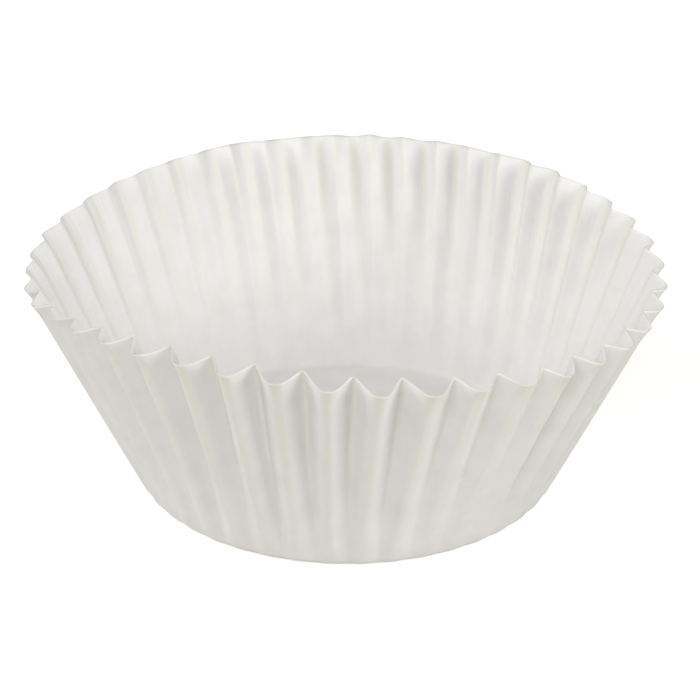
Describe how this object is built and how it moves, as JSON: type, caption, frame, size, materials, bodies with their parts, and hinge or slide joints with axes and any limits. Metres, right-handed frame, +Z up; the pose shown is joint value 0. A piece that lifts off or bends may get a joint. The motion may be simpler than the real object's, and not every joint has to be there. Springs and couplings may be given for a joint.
{
  "type": "fluted baking cup",
  "caption": "Round paper baking cup with a flat base and a fluted wall that leans out to a zigzag rim.",
  "frame": {"origin": "centre of the base's underside, which rests on the table", "axes": "+Z up through the open mouth; the picture looks from the -Y side; an inner fold of the wall lies on each of +X, +Y, -X and -Y"},
  "size_m": [0.072, 0.072, 0.0284],
  "materials": {
    "paper": "matt white greaseproof paper, faintly warm"
  },
  "bodies": {
    "root": {"baking_cup": "paper"}
  },
  "joints": []
}
